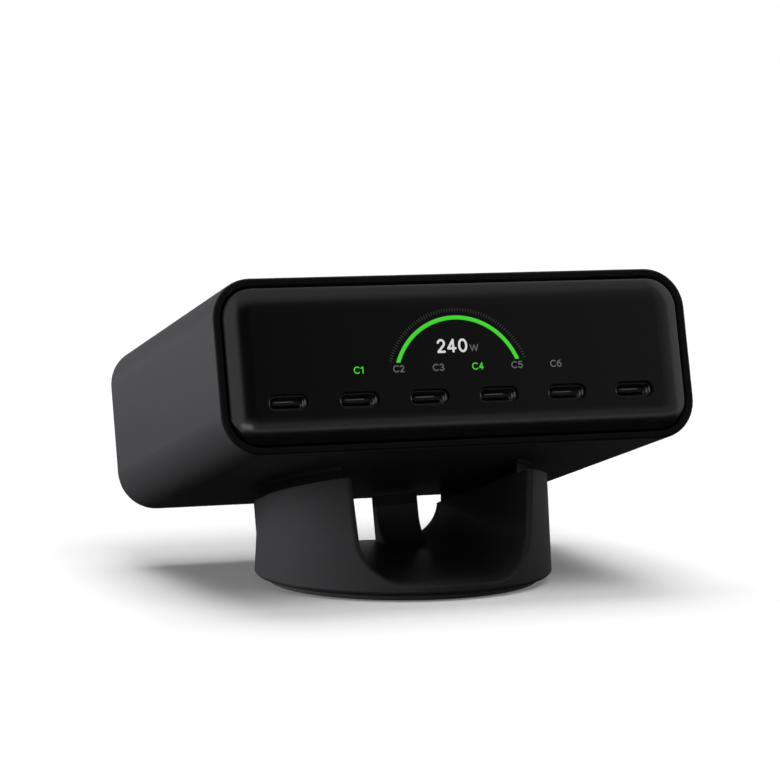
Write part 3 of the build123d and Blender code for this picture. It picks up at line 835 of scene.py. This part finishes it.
def fade(inside, blur):
    """Nought outside an edge and one well inside it, with a smooth step between."""
    share = min(1.0, max(0.0, inside / blur + 0.5))
    return share * share * (3 - 2 * share)


def dome_cover(azimuth, elevation):
    """How solid the cards are in one direction."""
    clear = CARD_LEAK
    for middle, half_width, height, half_height, level, blur in WINDOWS:
        aside = abs((azimuth - middle + 180) % 360 - 180)
        across = fade(half_width - aside, blur)
        clear = max(clear, level * across * fade(half_height - abs(elevation - height), blur))
    return 1 - clear


def make_cards():
    """A dome of black cards with windows in it, and one on the desk that hides the white floor close by."""
    columns = [-180 + CARD_STEP * at for at in range(360 // CARD_STEP + 1)]
    rows = [CARD_STEP * at for at in range(90 // CARD_STEP + 1)]
    aims = [(azimuth, elevation) for elevation in rows for azimuth in columns]
    points = [direction(*aim) * CARD_RADIUS for aim in aims]
    hang_card("dark_cards", points, len(columns), [dome_cover(*aim) for aim in aims])
    shares = [at / DESK_CARD_RINGS for at in range(DESK_CARD_RINGS + 1)]
    turns = [math.tau * at / DESK_CARD_SIDES for at in range(DESK_CARD_SIDES + 1)]
    points = []
    covers = []
    for share in shares:
        ring = DESK_CARD_RADIUS * share
        points += [(ring * math.cos(turn), ring * math.sin(turn), DESK_CARD_LIFT) for turn in turns]
        covers += [DESK_CARD_COVER * fade(1 - DESK_CARD_FADE * share, DESK_CARD_BLUR)] * len(turns)
    hang_card("desk_card", points, len(turns), covers)


def make_world():
    """White to the eye and in reflections, and a soft even fill as light."""
    world = bpy.data.worlds.new("studio")
    bpy.context.scene.world = world
    world.use_nodes = True
    tree = world.node_tree
    tree.nodes.clear()
    levels = {"Value": seen_rays(tree), "To Min": AMBIENT, "To Max": 1.0}
    strength = add_node(tree, "ShaderNodeMapRange", levels).outputs["Result"]
    light = add_node(tree, "ShaderNodeBackground", {"Color": WHITE, "Strength": strength})
    add_node(tree, "ShaderNodeOutputWorld", {"Surface": light.outputs["Background"]})


def floor_group(name, floor, state):
    """A group that holds the floor, for lamps that light it alone or leave it out."""
    group = bpy.data.collections.new(name)
    group.objects.link(floor)
    group.collection_objects[0].light_linking.link_state = state
    return group


def hang_lamp(name, kind, aim, power):
    """A lamp that shines from a direction on the charger, and doesn't show in reflections."""
    light = bpy.data.lights.new(name, kind)
    light.energy = power
    lamp = place_object(name, light)
    lamp.rotation_euler = aim.to_track_quat("Z", "Y").to_euler()
    lamp.visible_glossy = False
    return lamp


def make_lights(floor):
    """Broad lights from above, and softboxes that light the charger but not the floor."""
    floor_alone = floor_group("lit_floor", floor, "INCLUDE")
    no_floor = floor_group("unlit_floor", floor, "EXCLUDE")
    for name, (azimuth, elevation, strength, width, alone) in TOP_LIGHTS.items():
        lamp = hang_lamp(name, "SUN", direction(azimuth, elevation), strength)
        lamp.data.angle = math.radians(width)
        if alone:
            lamp.light_linking.receiver_collection = floor_alone
    for name, (azimuth, elevation, width, height, power, shown) in SOFTBOXES.items():
        aim = direction(azimuth, elevation)
        lamp = hang_lamp(name, "AREA", aim, power)
        lamp.data.shape = "RECTANGLE"
        lamp.data.size = width
        lamp.data.size_y = height
        lamp.location = aim * SOFTBOX_DISTANCE
        lamp.visible_camera = False
        lamp.visible_glossy = shown
        lamp.light_linking.receiver_collection = no_floor


def make_camera():
    """The photograph's view, found from the housing's middle."""
    low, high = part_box("housing_sleeve")
    target = (low + high) / 2
    back = direction(CAMERA_AZIMUTH, CAMERA_ELEVATION)
    lens = bpy.data.cameras.new("camera")
    lens.sensor_width = SENSOR_WIDTH
    lens.lens = CAMERA_FOCAL_PIXELS / PHOTO_SIZE * SENSOR_WIDTH
    lens.shift_x = (PHOTO_SIZE / 2 - TARGET_PIXEL[0]) / PHOTO_SIZE
    lens.shift_y = (TARGET_PIXEL[1] - PHOTO_SIZE / 2) / PHOTO_SIZE
    lens.clip_start = CAMERA_CLIP
    camera = place_object("camera", lens)
    camera.location = target + back * CAMERA_DISTANCE
    camera.rotation_euler = (-back).to_track_quat("-Z", "Y").to_euler()
    bpy.context.scene.camera = camera


dress_nodes()
make_gauge()
make_ticks()
make_lettering()
make_contacts()
make_lips()
make_ribs()
make_lights(make_floor())
make_cards()
make_world()
make_camera()
bpy.context.scene.view_settings.view_transform = "Standard"
